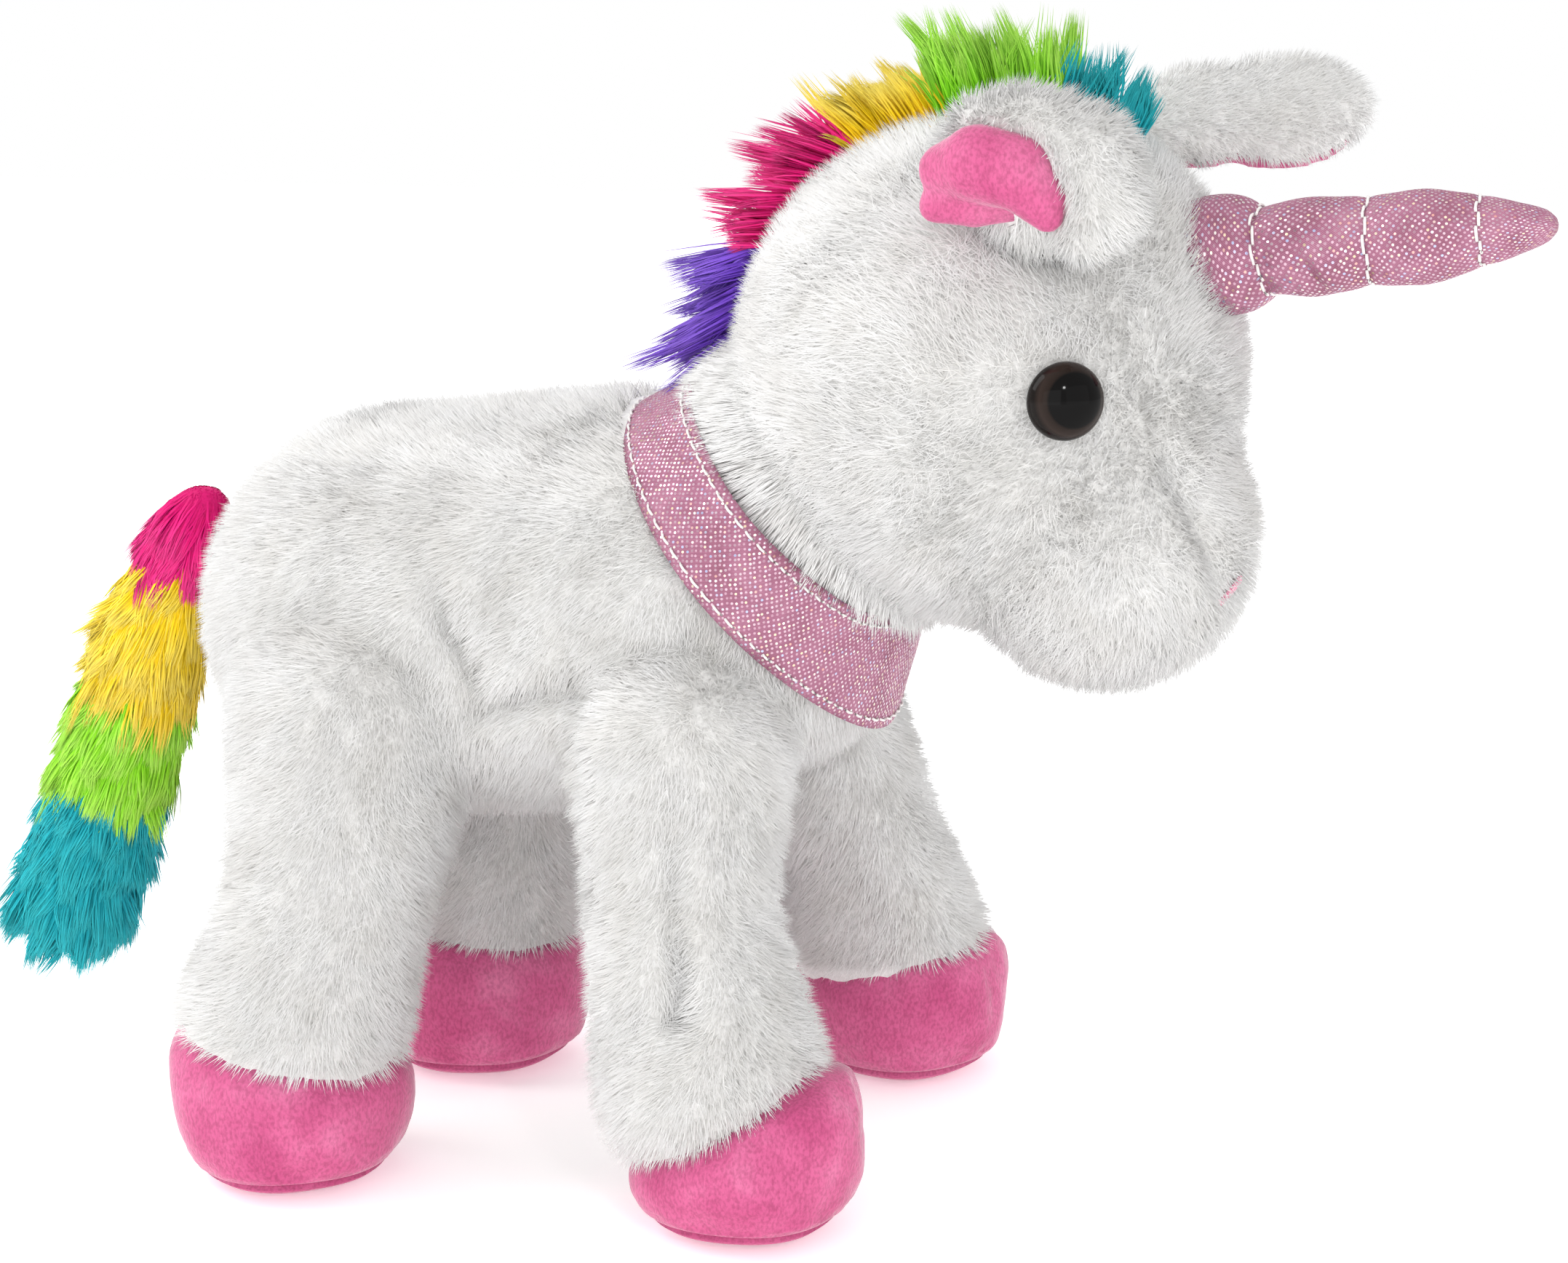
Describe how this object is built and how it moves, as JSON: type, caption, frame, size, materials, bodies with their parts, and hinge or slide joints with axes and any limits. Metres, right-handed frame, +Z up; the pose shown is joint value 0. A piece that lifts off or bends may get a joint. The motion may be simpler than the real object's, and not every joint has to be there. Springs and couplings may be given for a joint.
{
  "type": "plush unicorn",
  "caption": "Standing plush unicorn with stuffed body, turning head, swinging legs, flexible horn, folded ears, banded mane and tail, and a pointed foil collar.",
  "frame": {"origin": "on the floor, under the middle of the toy's bounding box", "axes": "+Z up, the face looks along -Y, the animal's left side is at +X"},
  "size_m": [0.1543, 0.3368, 0.232],
  "materials": {
    "white_plush": "short dense pile",
    "pink_velboa": "very short brushed pile",
    "foil_cloth": "pink cloth printed with holographic foil dots",
    "foil_lining": "plain woven lining",
    "polyester_filling": "loose polyester fibre",
    "white_thread": "twisted polyester sewing thread",
    "pink_thread": "embroidery thread",
    "eye_plastic": "polished brown and black",
    "washer_plastic": "moulded",
    "pile_purple": "long straight pile",
    "pile_magenta": "long straight pile",
    "pile_yellow": "long straight pile",
    "pile_green": "long straight pile",
    "pile_teal": "long straight pile"
  },
  "bodies": {
    "torso": {"belly_gusset": "white_plush", "body_side_left": "white_plush", "body_side_right": "white_plush", "body_stuffing": "polyester_filling", "closing_seam_thread": "white_thread"},
    "neck": {"collar_band": "foil_cloth", "collar_lining": "foil_lining", "collar_topstitch": "white_thread", "neck_cover": "white_plush", "neck_stuffing": "polyester_filling"},
    "head": {"eye_left": "eye_plastic", "eye_right": "eye_plastic", "eye_washer_left": "washer_plastic", "eye_washer_right": "washer_plastic", "forehead_gusset": "white_plush", "head_side_left": "white_plush", "head_side_right": "white_plush", "head_stuffing": "polyester_filling", "mane_green": "pile_green", "mane_magenta": "pile_magenta", "mane_purple": "pile_purple", "mane_tape": "foil_lining", "mane_teal": "pile_teal", "mane_yellow": "pile_yellow", "nose_stitches": "pink_thread"},
    "ear_right": {"ear_right_lining": "pink_velboa", "ear_right_outer": "white_plush"},
    "ear_left": {"ear_left_lining": "pink_velboa", "ear_left_outer": "white_plush"},
    "horn": {"horn_cover": "foil_cloth", "horn_stuffing": "polyester_filling", "horn_thread": "white_thread"},
    "leg_front_right": {"hoof_front_right_cover": "pink_velboa", "hoof_front_right_sole": "pink_velboa", "leg_front_right_inner": "white_plush", "leg_front_right_outer": "white_plush", "leg_front_right_stuffing": "polyester_filling"},
    "leg_front_left": {"hoof_front_left_cover": "pink_velboa", "hoof_front_left_sole": "pink_velboa", "leg_front_left_inner": "white_plush", "leg_front_left_outer": "white_plush", "leg_front_left_stuffing": "polyester_filling"},
    "leg_rear_right": {"hoof_rear_right_cover": "pink_velboa", "hoof_rear_right_sole": "pink_velboa", "leg_rear_right_inner": "white_plush", "leg_rear_right_outer": "white_plush", "leg_rear_right_stuffing": "polyester_filling"},
    "leg_rear_left": {"hoof_rear_left_cover": "pink_velboa", "hoof_rear_left_sole": "pink_velboa", "leg_rear_left_inner": "white_plush", "leg_rear_left_outer": "white_plush", "leg_rear_left_stuffing": "polyester_filling"},
    "tail": {"tail_core": "polyester_filling", "tail_green": "pile_green", "tail_magenta": "pile_magenta", "tail_teal": "pile_teal", "tail_yellow": "pile_yellow"}
  },
  "joints": [
    {"name": "neck_nod", "type": "hinge", "parent": "torso", "child": "neck", "pos_m": [-0.0049, -0.0164, 0.133], "axis": [1, 0, 0], "range_deg": [-10, 12], "stiffness_Nm_per_rad": 1},
    {"name": "head_turn", "type": "hinge", "parent": "neck", "child": "head", "pos_m": [-0.0049, -0.0164, 0.133], "axis": [0, -0.7826, 0.6225], "range_deg": [-20, 20], "stiffness_Nm_per_rad": 0.8},
    {"name": "ear_right_flap", "type": "hinge", "parent": "head", "child": "ear_right", "pos_m": [-0.0337, -0.07817, 0.20571], "axis": [0.083, -0.9965, 0], "range_deg": [-20, 20], "stiffness_Nm_per_rad": 0.03},
    {"name": "ear_left_flap", "type": "hinge", "parent": "head", "child": "ear_left", "pos_m": [0.02793, -0.08394, 0.20029], "axis": [0.6958, 0.7182, 0], "range_deg": [-20, 20], "stiffness_Nm_per_rad": 0.03},
    {"name": "horn_flex", "type": "hinge", "parent": "head", "child": "horn", "pos_m": [-0.0049, -0.1059, 0.1908], "axis": [1, 0, 0], "range_deg": [-10, 10], "stiffness_Nm_per_rad": 0.15},
    {"name": "leg_front_right_swing", "type": "hinge", "parent": "torso", "child": "leg_front_right", "pos_m": [-0.0409, -0.0084, 0.078], "axis": [1, 0, 0], "range_deg": [-15, 15], "stiffness_Nm_per_rad": 0.5},
    {"name": "leg_front_left_swing", "type": "hinge", "parent": "torso", "child": "leg_front_left", "pos_m": [0.0331, -0.0104, 0.078], "axis": [1, 0, 0], "range_deg": [-15, 15], "stiffness_Nm_per_rad": 0.5},
    {"name": "leg_rear_right_swing", "type": "hinge", "parent": "torso", "child": "leg_rear_right", "pos_m": [-0.0389, 0.0656, 0.082], "axis": [1, 0, 0], "range_deg": [-15, 15], "stiffness_Nm_per_rad": 0.5},
    {"name": "leg_rear_left_swing", "type": "hinge", "parent": "torso", "child": "leg_rear_left", "pos_m": [0.0291, 0.0636, 0.082], "axis": [1, 0, 0], "range_deg": [-15, 15], "stiffness_Nm_per_rad": 0.5},
    {"name": "tail_lift", "type": "hinge", "parent": "torso", "child": "tail", "pos_m": [-0.0049, 0.1216, 0.126], "axis": [1, 0, 0], "range_deg": [-4, 50], "stiffness_Nm_per_rad": 0.15}
  ]
}
